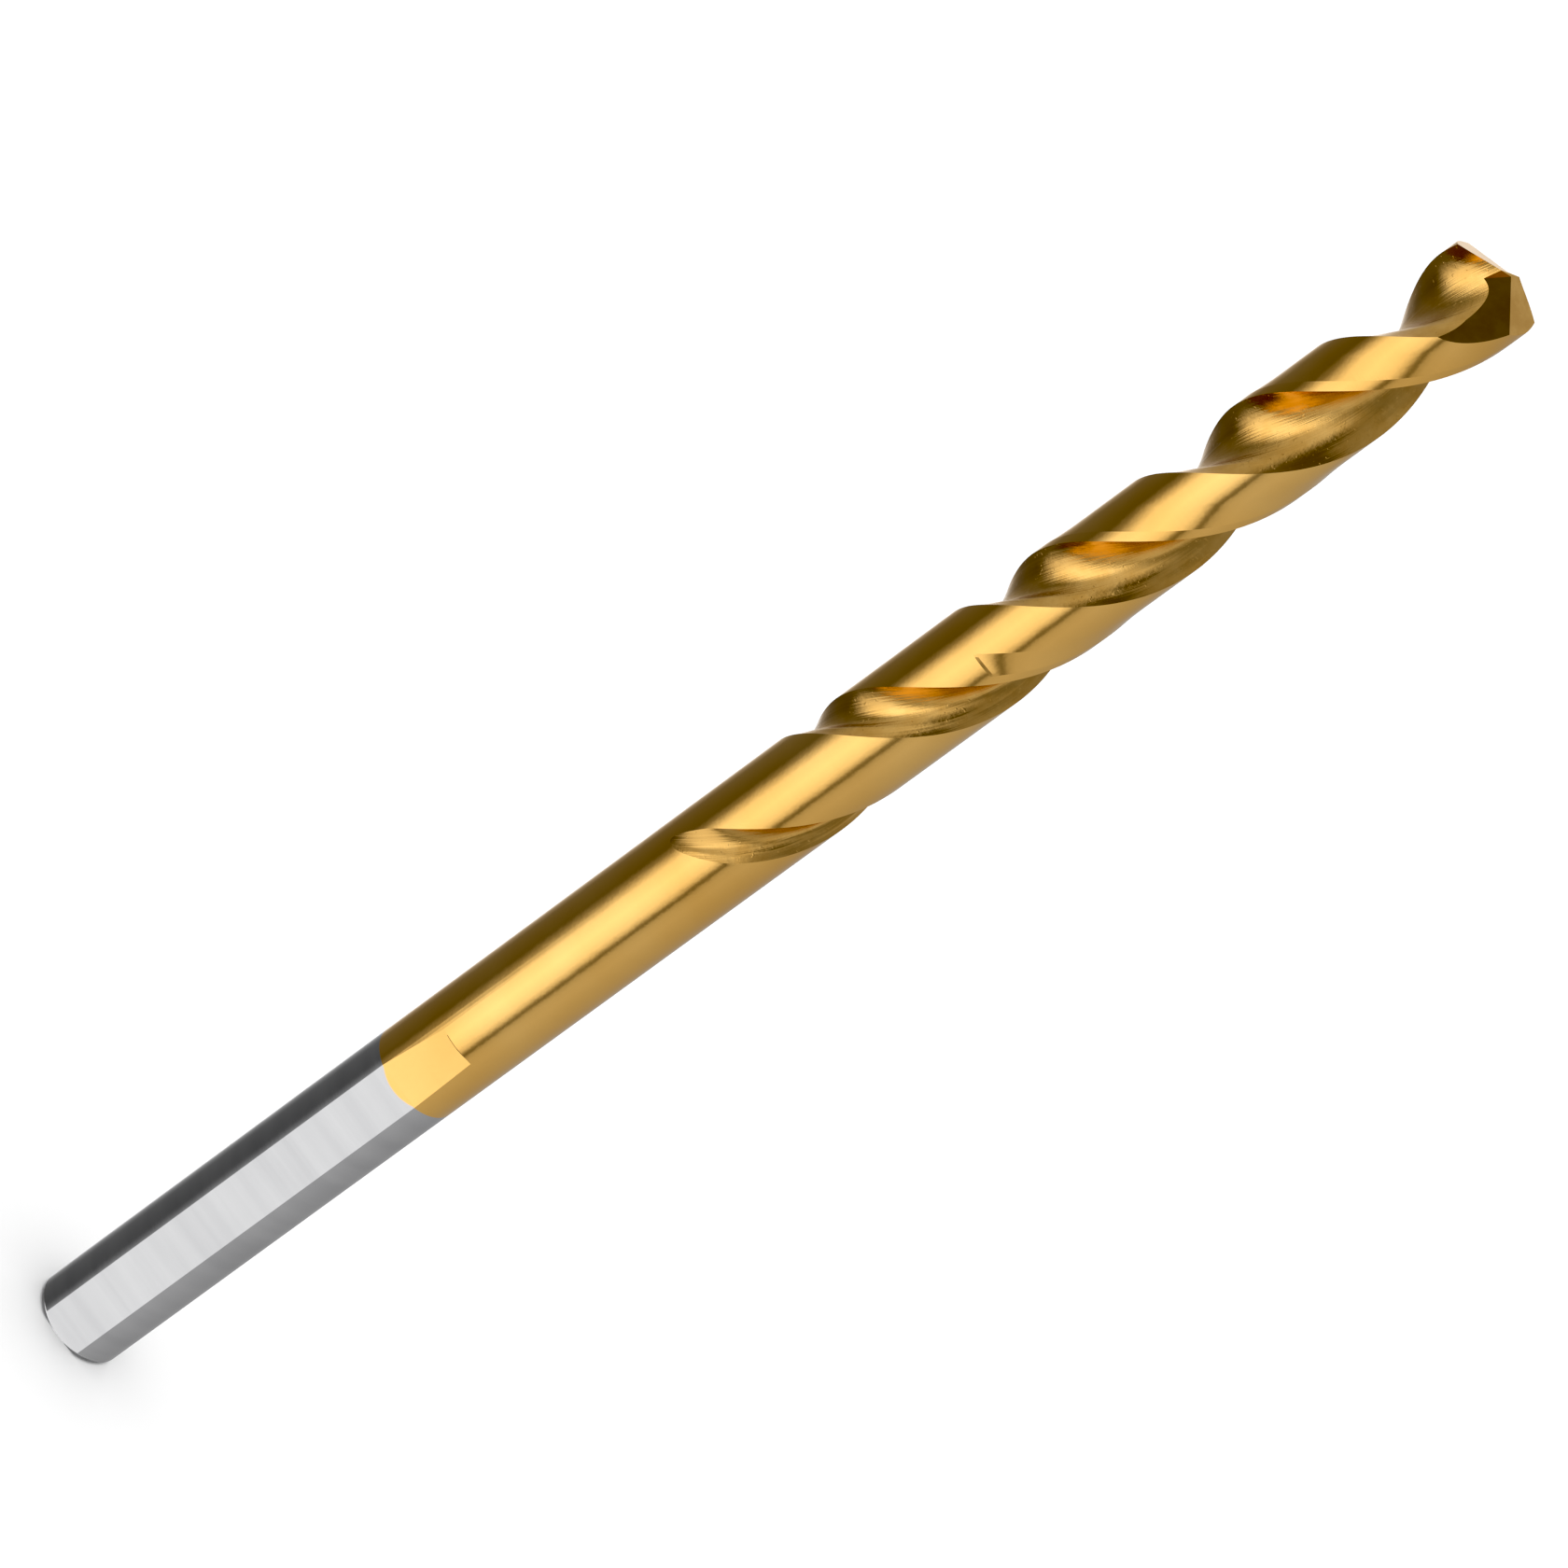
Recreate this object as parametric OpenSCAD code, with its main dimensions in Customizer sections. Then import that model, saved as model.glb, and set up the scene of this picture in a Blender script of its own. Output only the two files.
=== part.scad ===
// Two-flute twist drill: bare three-flat shank and coated fluted body.
// The tool axis is +Z. The origin is the centre of the shank's end face.

/* [Overall] */
// Diameter over the cutting margins and the round neck
drill_d = 4.7625; // [4.6:0.0125:4.9]
// Length from the shank's end face to the chisel edge
drill_len = 88.9; // [86:0.1:92]

/* [Shank] */
// Length of bare steel, from the end face to the coated body
bare_len = 22.9; // [20:0.1:25]
// Distance from the axis to each of the three flats
flat_apothem = 2.06; // [2:0.01:2.12]
// Direction that the first flat faces, seen from the point
flat_turn = -90; // [-90:1:90]
// Chamfer on the shank's end
end_chamfer = 0.3; // [0.1:0.05:0.5]
// Distance from the end face to the step where the flats stop
flat_len = 26.7; // [26:0.1:28]
// Distance from the axis to a flat where it stops
flat_stop_apothem = 2.17; // [2.14:0.01:2.22]

/* [Flutes] */
// Length of the flutes, from where they run out to the chisel edge
flute_len = 47.4; // [46:0.1:49]
// Length of one full turn of a flute
lead = 23.64; // [22:0.01:26]
// Length over which a flute dives from the surface to its full depth
runout_len = 5.9; // [5:0.1:8]
// Length over which a flute opens to its full width
mouth_len = 2.2; // [1.8:0.1:3]
// Width of a flute at the run-out, in degrees round the axis
opening_root = 43; // [38:1:48]
// Width of a flute at the point, in degrees round the axis
opening_tip = 124; // [115:1:128]
// Rake wall's control point at the run-out: distance from the axis, as a share of the radius
rake_reach_root = 0.78; // [0.7:0.01:0.85]
// Rake wall's control point at the point: distance from the axis, as a share of the radius
rake_reach_tip = 0.052; // [0.03:0.001:0.1]
// Rake wall's control point at the run-out: place between the flute's edges
rake_place_root = 0.81; // [0.7:0.01:0.9]
// Rake wall's control point at the point: place between the flute's edges
rake_place_tip = 1; // [0.9:0.01:1.05]
// Heel wall's control point at the run-out: distance from the axis, as a share of the radius
heel_reach_root = 0.865; // [0.8:0.005:0.9]
// Heel wall's control point at the point: distance from the axis, as a share of the radius
heel_reach_tip = 0.272; // [0.24:0.001:0.32]
// Heel wall's control point at the run-out: place between the flute's edges
heel_place_root = 0.815; // [0.75:0.005:0.9]
// Heel wall's control point at the point: place between the flute's edges
heel_place_tip = 0.677; // [0.62:0.001:0.72]
// Width of the bevel on each flute's heel, in degrees round the axis
bevel_deg = 11; // [9:0.5:14]
// Depth of the bevel's inner edge below full size at the run-out
bevel_root = 0.165; // [0.12:0.005:0.25]
// Depth of the bevel's inner edge below full size at the point
bevel_tip = 0.84; // [0.7:0.01:0.9]

/* [Margins] */
// Distance from the chisel edge to where the margins begin
margin_len = 29.5; // [25:0.1:32]
// Width of a margin, in degrees round the axis
margin_deg = 12; // [10:1:15]
// Depth to which the land behind each margin is relieved
relief_depth = 0.083; // [0.05:0.001:0.1]

/* [Point] */
// Included angle of the point
point_angle = 135; // [130:1:140]
// Clearance angle behind the cutting lips
lip_clearance = 15.5; // [11:0.5:18]
// Direction of the lips round the axis
lip_turn = 4; // [0:1:8]
// Direction of the margins' leading edges at the outer corners of the lips
corner_turn = 18.1; // [16:0.1:20]
// Angle of each split-point notch from the tool axis
notch_tilt = 42.7; // [40:0.1:45]
// Direction of each notch round the axis
notch_turn = 37.6; // [35:0.1:40]
// Roll of each notch about its own bottom line
notch_roll = -109.7; // [-112:0.1:-107]
// Angle between the two walls of a notch
notch_angle = 108; // [104:1:110]
// Distance of each notch from the tool axis
notch_offset = 0.12; // [0.08:0.01:0.16]

/* [Hidden] */
radius = drill_d / 2;
steel = [0.78, 0.78, 0.79];
coating = [0.83, 0.64, 0.27];
round_sides = 96;
// Clearance that lets a cutter pass right through the metal
overshoot = 1;
// A cutter's size, larger than the whole section
cutter = 3 * drill_d;

flute_start = drill_len - flute_len;
// Length and size of the stub that laps the fluted stretch inside the round neck
neck_lap = 0.3;
stub_scale = 0.96;
// Gap between the neck's end and the first full ring of the fluted stretch
first_ring = 0.02;
// The point is ground from a bar that stands this far over the chisel edge
grind_stock = 0.3;
margin_start = drill_len - margin_len;
// Length of the step down at the start of the relief
relief_step = 0.12;
// Depth of the lips' outer corners below the chisel edge
corner_depth = 0.84;
// Place of the run-out's first touch, in degrees ahead of the leading edge
mouth_deg = 19;
rake_wall = [rake_reach_root, rake_reach_tip, rake_place_root, rake_place_tip];
heel_wall = [heel_reach_root, heel_reach_tip, heel_place_root, heel_place_tip];
// Powers of the curves in which a flute opens and dives
mouth_power = 0.4;
runout_power = 2;

flute_steps = 14;
land_steps = 10;
margin_steps = 2;
runout_rings = 16;
ring_pitch = 0.68;

// Points that lie at a distance r and an angle a
function polar(r, a) = r * [cos(a), sin(a)];
function mix(a, b, t) = a + (b - a) * t;

// Distance along a flute, as a share of a length
function along(z, len) = max(0, min(1, (z - flute_start) / len));
function leading_turn(z) = corner_turn + 360 * (z - drill_len + corner_depth) / lead;

// A flute's two edges, in degrees ahead of its leading edge
function spread(z) = pow(max(along(z, mouth_len), 0.0001), mouth_power);
function full_opening(z) = mix(opening_root, opening_tip, along(z, flute_len));
function lead_edge(z) = mouth_deg * (1 - spread(z));
function heel_edge(z) = mix(mouth_deg, full_opening(z), spread(z));

// Share of the way from full depth back to the surface, at the run-out
function dive(z) = pow(1 - along(z, runout_len), runout_power);
function lifted(z, p) = mix(p, radius * p / norm(p), dive(z));
function land_radius(z) = radius - relief_depth * max(0, min(1, (z - margin_start) / relief_step));

// Inner edge of the bevel on the heel
function bevel_edge(z) = heel_edge(z) - bevel_deg * spread(z);
function bevel_radius(z) = radius - mix(bevel_root, bevel_tip, along(z, flute_len));

// The control point that shapes one wall of a flute
function control(z, wall) =
    let (grown = along(z, flute_len))
    polar(radius * mix(wall[0], wall[1], grown),
        mix(lead_edge(z), bevel_edge(z), mix(wall[2], wall[3], grown)));
function bezier(a, c, d, b, t) =
    pow(1 - t, 3) * a + 3 * t * pow(1 - t, 2) * c + 3 * t * t * (1 - t) * d + pow(t, 3) * b;

// One flute's curve, from the leading edge over the floor to the bevel
function flute_side(z) =
    let (a = polar(radius, lead_edge(z)))
    let (b = polar(bevel_radius(z), bevel_edge(z)))
    [for (i = [0 : flute_steps])
        lifted(z, bezier(a, control(z, rake_wall), control(z, heel_wall), b, i / flute_steps))];

// One land: the relieved stretch from the heel, then the margin at full size
function margin_from(z) = 180 - margin_deg;
function land_side(z) = concat(
    [for (i = [0 : land_steps]) polar(land_radius(z), mix(heel_edge(z), margin_from(z), i / land_steps))],
    [for (i = [0 : margin_steps - 1])
        polar(radius, mix(margin_from(z) + 0.6, 180 + lead_edge(z), i / margin_steps))]
);

function half_section(z) = concat(flute_side(z), land_side(z));
function section(z) = concat(half_section(z), [for (p = half_section(z)) -p]);
function turned(p, a) = [p[0] * cos(a) - p[1] * sin(a), p[0] * sin(a) + p[1] * cos(a)];
function ring(z, size = 1) = [
    for (p = section(z)) let (q = turned(p * size, leading_turn(z))) [q[0], q[1], z]
];

// Heights of the rings: close together where the flutes run out
function even(a, b, pitch) = let (n = ceil((b - a) / pitch)) [for (i = [0 : n - 1]) mix(a, b, i / n)];
ring_heights = concat(
    [for (i = [0 : runout_rings - 1]) flute_start + first_ring + runout_len / 2 * pow(i / runout_rings, 2)],
    even(flute_start + runout_len / 2, margin_start, ring_pitch),
    [margin_start],
    even(margin_start + relief_step, drill_len + grind_stock, ring_pitch),
    [drill_len + grind_stock]
);

module fluted_bar() {
    stub = ring(flute_start - neck_lap, stub_scale);
    rings = concat([stub], [for (z = ring_heights) ring(z)]);
    count = len(rings[0]);
    last = len(rings) - 1;
    points = [for (r = rings) for (p = r) p];
    sides = [for (k = [0 : last - 1]) for (i = [0 : count - 1])
        let (a = k * count + i)
        let (b = k * count + (i + 1) % count)
        for (f = [[a, b + count, b], [a, a + count, b + count]]) f];
    root_cap = [for (i = [0 : count - 1]) i];
    top_cap = [for (i = [count - 1 : -1 : 0]) last * count + i];
    polyhedron(points = points, faces = concat([root_cap], sides, [top_cap]), convexity = 10);
}

// Everything above one flank of the point
module over_flank() {
    translate([0, 0, drill_len])
        rotate([0, 0, lip_turn])
            rotate([lip_clearance, 90 - point_angle / 2, 0])
                translate([-cutter, -cutter, 0])
                    cube([2 * cutter, 2 * cutter, cutter]);
}

// The wheel's path in one notch of the split point
module notch() {
    half = notch_angle / 2;
    translate([notch_offset, 0, drill_len - notch_offset / 2])
        rotate([0, notch_tilt, notch_turn])
            rotate([0, 0, notch_roll])
                linear_extrude(height = 2 * cutter, center = true)
                    polygon([[0, 0], polar(cutter, -half), polar(cutter, half)]);
}

// The flutes with the ground point, as one closed surface
module ground_flutes() {
    resize([0, 0, 0])
        difference() {
            fluted_bar();
            for (side = [0, 180]) {
                rotate([0, 0, side]) over_flank();
                rotate([0, 0, side]) notch();
            }
        }
}

// Removes one flat from the bare shank
module shank_flat() {
    translate([flat_apothem, -radius, -overshoot])
        cube([radius, drill_d, bare_len + 2 * overshoot]);
}

// Removes the last stretch of one flat, which rises slightly to its step
module rising_flat() {
    rise = atan((flat_stop_apothem - flat_apothem) / (flat_len - bare_len));
    translate([flat_apothem, -radius, bare_len])
        rotate([0, rise, 0])
            translate([0, 0, -overshoot])
                cube([radius, drill_d, flat_len - bare_len + overshoot]);
}

module on_three_flats() {
    for (turn = [0, 120, 240])
        rotate([0, 0, flat_turn + turn]) children();
}

// Bare steel end that the chuck holds
module shank() {
    color(steel)
        difference() {
            union() {
                cylinder(h = end_chamfer, r1 = radius - end_chamfer, r2 = radius, $fn = round_sides);
                translate([0, 0, end_chamfer])
                    cylinder(h = bare_len - end_chamfer, r = radius, $fn = round_sides);
            }
            on_three_flats() shank_flat();
        }
}

// Coated body: end of the flats, round neck, flutes and split point
module fluted_body() {
    color(coating)
        union() {
            difference() {
                translate([0, 0, bare_len])
                    cylinder(h = flute_start - bare_len, r = radius, $fn = round_sides);
                on_three_flats() rising_flat();
            }
            ground_flutes();
        }
}

shank();
fluted_body();
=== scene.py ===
"""Looks of a two-flute twist drill: a bare three-flat shank and a coated, split-point fluted body.

The tool axis is +Z and the origin is the centre of the shank's end face. Lengths are in metres.
"""

import math

import bmesh
import bpy
from mathutils import Matrix, Vector


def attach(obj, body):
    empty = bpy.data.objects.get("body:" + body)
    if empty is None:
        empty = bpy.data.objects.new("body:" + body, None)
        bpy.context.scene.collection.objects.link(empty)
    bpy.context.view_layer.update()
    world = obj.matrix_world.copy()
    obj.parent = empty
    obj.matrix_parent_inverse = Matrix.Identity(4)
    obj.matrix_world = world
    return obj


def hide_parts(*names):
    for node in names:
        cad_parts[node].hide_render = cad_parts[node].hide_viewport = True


bl_info = {
    "name": "Twist Drill",
    "version": (1, 0, 0),
    "blender": (4, 5, 0),
    "location": "View3D > Sidebar > Drill",
    "description": "Builds a coated two-flute twist drill with a flatted shank, and a studio for it",
    "category": "Object",
}

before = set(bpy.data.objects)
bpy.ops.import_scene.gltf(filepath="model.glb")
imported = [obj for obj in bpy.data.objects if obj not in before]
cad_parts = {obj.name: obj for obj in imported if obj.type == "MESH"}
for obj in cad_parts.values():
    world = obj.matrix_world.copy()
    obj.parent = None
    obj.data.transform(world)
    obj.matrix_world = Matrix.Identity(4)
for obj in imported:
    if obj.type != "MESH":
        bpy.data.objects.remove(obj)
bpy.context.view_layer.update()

MM = 0.001


# ---------------------------------------------------------------- sizes


def length_prop(name, text, millimetres):
    """A length property that shows in the scene's own units."""
    return bpy.props.FloatProperty(
        name=name, description=text, default=millimetres * MM, min=0.0, precision=5,
        subtype="DISTANCE", unit="LENGTH",
    )


def angle_prop(name, text, degrees):
    """An angle property."""
    return bpy.props.FloatProperty(
        name=name, description=text, default=math.radians(degrees), subtype="ANGLE", unit="ROTATION",
    )


def share_prop(name, text, value):
    """A plain number."""
    return bpy.props.FloatProperty(name=name, description=text, default=value, precision=3)


def colour_prop(name, text, value):
    """A linear colour."""
    return bpy.props.FloatVectorProperty(
        name=name, description=text, default=value, size=3, min=0.0, max=1.0, subtype="COLOR",
    )


class DrillShankSizes(bpy.types.PropertyGroup):
    """Sizes of the shank and of the whole tool."""

    drill_d: length_prop("Diameter", "Diameter over the margins and the round neck", 4.7625)
    drill_len: length_prop("Length", "From the shank's end face to the chisel edge", 88.9)
    bare_len: length_prop("Bare length", "Length of bare steel before the coating", 22.9)
    flat_apothem: length_prop("Flat distance", "From the axis to each of the three flats", 2.06)
    flat_turn: angle_prop("Flat direction", "Direction that the first flat faces", -90.0)
    end_chamfer: length_prop("End chamfer", "Chamfer on the shank's end", 0.3)
    flat_len: length_prop("Flat length", "From the end face to the step where the flats stop", 26.7)
    flat_stop_apothem: length_prop("Step distance", "From the axis to a flat where it stops", 2.17)
    flat_stop_turn: angle_prop("Turn at the step", "Turn of a flat round the axis where it stops", 3.0)
    step_edge: length_prop("Step edge", "Width of the broken edge at the top of each step", 0.06)
    overspray: length_prop("Overspray", "How far the coating reaches on to the middle of a bare flat", 0.38)


class DrillFluteSizes(bpy.types.PropertyGroup):
    """Sizes of the two flutes and of the lands between them."""

    flute_len: length_prop("Flute length", "From the run-out of the flutes to the chisel edge", 47.4)
    lead: length_prop("Lead", "Length of one full turn of a flute", 23.64)
    runout_len: length_prop("Run-out", "Length over which a flute dives to its full depth", 5.9)
    mouth_len: length_prop("Mouth", "Length over which a flute opens to its full width", 2.2)
    opening_root: angle_prop("Opening at the run-out", "Width of a flute round the axis at the run-out", 43.0)
    opening_tip: angle_prop("Opening at the point", "Width of a flute round the axis at the point", 124.0)
    rake_reach_root: share_prop("Rake reach, run-out", "Rake wall's control point, in radii", 0.78)
    rake_reach_tip: share_prop("Rake reach, point", "Rake wall's control point, in radii", 0.052)
    rake_place_root: share_prop("Rake place, run-out", "Its place from edge to edge, as a share", 0.81)
    rake_place_tip: share_prop("Rake place, point", "Its place from edge to edge, as a share", 1.0)
    heel_reach_root: share_prop("Heel reach, run-out", "Heel wall's control point, in radii", 0.865)
    heel_reach_tip: share_prop("Heel reach, point", "Heel wall's control point, in radii", 0.272)
    heel_place_root: share_prop("Heel place, run-out", "Its place from edge to edge, as a share", 0.815)
    heel_place_tip: share_prop("Heel place, point", "Its place from edge to edge, as a share", 0.677)
    bevel_width: angle_prop("Heel bevel width", "Width of the bevel round the axis", 11.0)
    bevel_root: length_prop("Heel bevel at the run-out", "Depth of its inner edge below full size", 0.165)
    bevel_tip: length_prop("Heel bevel at the point", "Depth of its inner edge below full size", 0.84)
    margin_len: length_prop("Margin length", "From the chisel edge to where the margins begin", 29.5)
    margin_width: angle_prop("Margin width", "Width of a margin round the axis", 12.0)
    relief_depth: length_prop("Relief depth", "How far a land lies below its margin", 0.083)
    relief_step: length_prop("Relief step", "Length of the step down where the relief starts", 0.10)
    relief_fillet: angle_prop("Relief fillet", "Width of the hollow that rises to a margin", 30.0)
    relief_lens: length_prop("Relief run-in", "Length of the wheel's run-in behind a margin", 0.05)
    heel_lag: length_prop("Heel relief lag", "How much later the relief starts on the heel side", 3.5)


class DrillPointSizes(bpy.types.PropertyGroup):
    """Angles of the ground point."""

    point_angle: angle_prop("Point angle", "Included angle of the point", 135.0)
    lip_clearance: angle_prop("Lip clearance", "Clearance angle behind the lips", 15.5)
    lip_turn: angle_prop("Lip direction", "Direction of the lips round the axis", 4.0)
    corner_turn: angle_prop("Corner direction", "Direction of the leading edges at the corners", 18.1)
    corner_depth: length_prop("Corner depth", "Depth of the lips' outer corners below the chisel edge", 0.84)
    notch_tilt: angle_prop("Notch tilt", "Angle of each split-point notch from the axis", 42.7)
    notch_turn: angle_prop("Notch direction", "Direction of each notch round the axis", 37.6)
    notch_roll: angle_prop("Notch roll", "Roll of each notch about its bottom line", -109.7)
    notch_angle: angle_prop("Notch angle", "Angle between a notch's two walls", 108.0)
    notch_offset: length_prop("Notch offset", "Distance of each notch from the axis", 0.12)


class DrillFinishes(bpy.types.PropertyGroup):
    """Colours and gloss of the two finishes, and the painted shade under the cutting edges."""

    steel_colour: colour_prop("Bare steel", "Reflected colour of the ground steel", (0.58, 0.58, 0.585))
    coating_colour: colour_prop("Coating", "Reflected colour of the gold coating", (0.96, 0.58, 0.183))
    # The rake colour is painted shade: a darker brown given to the coating just under the cutting edges,
    # where the flute walls shade and reflect each other
    rake_shade_colour: colour_prop("Rake walls", "Browner coating under the cutting edges", (0.56, 0.335, 0.105))
    steel_roughness: share_prop("Steel roughness", "Roughness of the ground steel", 0.17)
    coating_roughness: share_prop("Coating roughness", "Roughness of the coated lands", 0.09)
    flute_roughness: share_prop("Flute roughness", "Roughness of the coated flutes", 0.08)


class DrillStudio(bpy.types.PropertyGroup):
    """Camera, backdrop and light."""

    view_elevation: angle_prop("Elevation", "Height of the camera above the horizon", 29.283)
    view_roll: angle_prop("Roll", "Turn of the camera about its line of sight", 53.772)
    view_distance: length_prop("Distance", "From the camera to the point it looks at", 396.03)
    aim_side: length_prop("Aim, side", "How far the aim point lies to the side of the axis", 0.720)
    aim_height: length_prop("Aim, height", "Height of the aim point above the shank's end", 46.844)
    lens: bpy.props.FloatProperty(name="Lens", description="Focal length", default=208.56, unit="CAMERA")
    wall_strength: share_prop("Wall strength", "Brightness of the studio's walls and softboxes", 1.45)
    black_point: share_prop("Black point", "Light level that shows as black", 0.024)
    floor_colour: colour_prop("Floor", "Colour of the floor", (0.86, 0.86, 0.86))


# ---------------------------------------------------------------- finishes


# Heights over the colour change between which the overspray fades in
OVERSPRAY_FADE = (-0.01 * MM, 0.07 * MM)
# Distances from the axis, and angles behind a cutting edge, between which the painted shade under the cutting
# edges fades
RAKE_SHADE_REACH = (0.95 * MM, 1.5 * MM)
RAKE_SHADE_TURN = (math.radians(14.0), math.radians(30.0))
# Angle before a cutting edge from which the turn round the axis is counted
RAKE_SHADE_LEAD = 0.1
# Coordinates that follow the flutes: how they run along the axis, and how a wheel's strokes bow and lie
HELIX_SCALE = 100.0
STROKE_BOW = 400.0
STROKE_TURN = 0.0004


def math_node(tree, operation, first, second=0.0, third=None):
    """A Math node's output. Each operand is a number or another node's output."""
    node = tree.nodes.new("ShaderNodeMath")
    node.operation = operation
    operands = [first, second] if third is None else [first, second, third]
    for slot, value in zip(node.inputs, operands):
        if isinstance(value, (int, float)):
            slot.default_value = value
        else:
            tree.links.new(value, slot)
    return node.outputs[0]


def noise(tree, vector, scale, detail=3.0, roughness=0.5, stretch=(1.0, 1.0, 1.0)):
    """Noise of that many cycles per unit, with grains drawn out along the axes where stretch is small."""
    mapping = tree.nodes.new("ShaderNodeMapping")
    tree.links.new(vector, mapping.inputs["Vector"])
    mapping.inputs["Scale"].default_value = [s * scale for s in stretch]
    texture = tree.nodes.new("ShaderNodeTexNoise")
    texture.inputs["Scale"].default_value = 1.0
    texture.inputs["Detail"].default_value = detail
    texture.inputs["Roughness"].default_value = roughness
    tree.links.new(mapping.outputs["Vector"], texture.inputs["Vector"])
    return texture.outputs["Fac"]


def remap(tree, value, low, high, new_low, new_high):
    """Maps a value from one range to another, held at the ends."""
    node = tree.nodes.new("ShaderNodeMapRange")
    node.clamp = True
    tree.links.new(value, node.inputs["Value"])
    for name, number in zip(("From Min", "From Max", "To Min", "To Max"), (low, high, new_low, new_high)):
        node.inputs[name].default_value = number
    return node.outputs["Result"]


def blend_colours(tree, share, first, second):
    """Turns one colour into another. Each colour is a tuple of four or another node's output."""
    node = tree.nodes.new("ShaderNodeMix")
    node.data_type = "RGBA"
    tree.links.new(share, node.inputs["Factor"])
    for slot, colour in ((node.inputs[6], first), (node.inputs[7], second)):
        if isinstance(colour, tuple):
            slot.default_value = colour
        else:
            tree.links.new(colour, slot)
    return node.outputs[2]


def tint(tree, colour, grain, darker, lighter, full=0.65):
    """A colour that varies with a noise between two multiples of itself."""
    first, second = ((*(c * d for c, d in zip(colour, change)), 1.0) for change in (darker, lighter))
    return blend_colours(tree, remap(tree, grain, 0.35, full, 0.0, 1.0), first, second)


def bumps(tree, heights):
    """Bump nodes in a chain. Heights are (height output, strength, depth in metres)."""
    normal = None
    for height, strength, distance in heights:
        node = tree.nodes.new("ShaderNodeBump")
        node.inputs["Strength"].default_value = strength
        node.inputs["Distance"].default_value = distance
        tree.links.new(height, node.inputs["Height"])
        if normal is not None:
            tree.links.new(normal, node.inputs["Normal"])
        normal = node.outputs["Normal"]
    return normal


def new_metal(name):
    """A material with a metallic shader, as (material, tree, shader, object coordinates)."""
    material = bpy.data.materials.new(name)
    material.use_nodes = True
    tree = material.node_tree
    shader = tree.nodes["Principled BSDF"]
    shader.inputs["Metallic"].default_value = 1.0
    place = tree.nodes.new("ShaderNodeTexCoord").outputs["Object"]
    return material, tree, shader, place


def split(tree, vector):
    """The three parts of a vector."""
    parts = tree.nodes.new("ShaderNodeSeparateXYZ")
    tree.links.new(vector, parts.inputs["Vector"])
    return parts.outputs


def squared_reach(tree, x, y):
    """Distance from the tool axis, squared."""
    return math_node(tree, "ADD", math_node(tree, "MULTIPLY", x, x), math_node(tree, "MULTIPLY", y, y))


def dress(tree, shader, colour, rough, heights):
    """Gives a shader its colour, its roughness and its bumps."""
    tree.links.new(colour, shader.inputs["Base Color"])
    tree.links.new(rough, shader.inputs["Roughness"])
    tree.links.new(bumps(tree, heights), shader.inputs["Normal"])


def bare_steel(finishes, shank):
    """Bright ground steel with fine lines across the axis, and overspray where the coating starts."""
    material, tree, shader, place = new_metal("bare_steel")
    lines = noise(tree, place, 1.0, 4.0, 0.6, (180.0, 180.0, 9000.0))
    streaks = noise(tree, place, 1.0, 2.0, 0.5, (60.0, 60.0, 700.0))
    blotches = noise(tree, place, 420.0, 3.0, 0.55)
    colour = tint(tree, finishes.steel_colour, streaks, (0.93, 0.93, 0.935), (1.05, 1.05, 1.05), 0.68)
    rough = math_node(tree, "ADD", remap(tree, lines, 0.3, 0.7, -0.03, 0.04),
                      remap(tree, blotches, 0.3, 0.7, -0.02, 0.03))
    rough = math_node(tree, "ADD", rough, finishes.steel_roughness)
    x, y, z = split(tree, place)
    radius = shank.drill_d / 2
    sunk = math_node(tree, "SUBTRACT", radius ** 2, squared_reach(tree, x, y))
    tongue = math_node(tree, "MULTIPLY", sunk, shank.overspray / (radius ** 2 - shank.flat_apothem ** 2))
    ragged = remap(tree, blotches, 0.3, 0.7, -0.04 * MM, 0.04 * MM)
    edge = math_node(tree, "ADD", math_node(tree, "ADD", z, tongue), ragged)
    fade = [shank.bare_len + height for height in OVERSPRAY_FADE]
    coated = remap(tree, edge, *fade, 0.0, 1.0)
    colour = blend_colours(tree, coated, colour, (*finishes.coating_colour, 1.0))
    dress(tree, shader, colour, rough, [(lines, 0.10, 0.02 * MM), (blotches, 0.05, 0.05 * MM)])
    return material


def coated_land(finishes):
    """Gold coating over ground steel, with short marks across the axis."""
    material, tree, shader, place = new_metal("gold_coating")
    lines = noise(tree, place, 1.0, 4.0, 0.6, (300.0, 300.0, 7000.0))
    blotches = noise(tree, place, 500.0, 4.0, 0.6)
    patches = noise(tree, place, 160.0, 2.0, 0.5)
    colour = tint(tree, finishes.coating_colour, patches, (0.93, 0.90, 0.84), (1.0, 1.03, 1.10))
    rough = math_node(tree, "ADD", remap(tree, lines, 0.3, 0.7, -0.03, 0.04),
                      remap(tree, blotches, 0.3, 0.7, -0.02, 0.04))
    rough = math_node(tree, "ADD", rough, finishes.coating_roughness)
    dress(tree, shader, colour, rough, [(lines, 0.14, 0.02 * MM), (blotches, 0.32, 0.06 * MM)])
    return material


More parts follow.
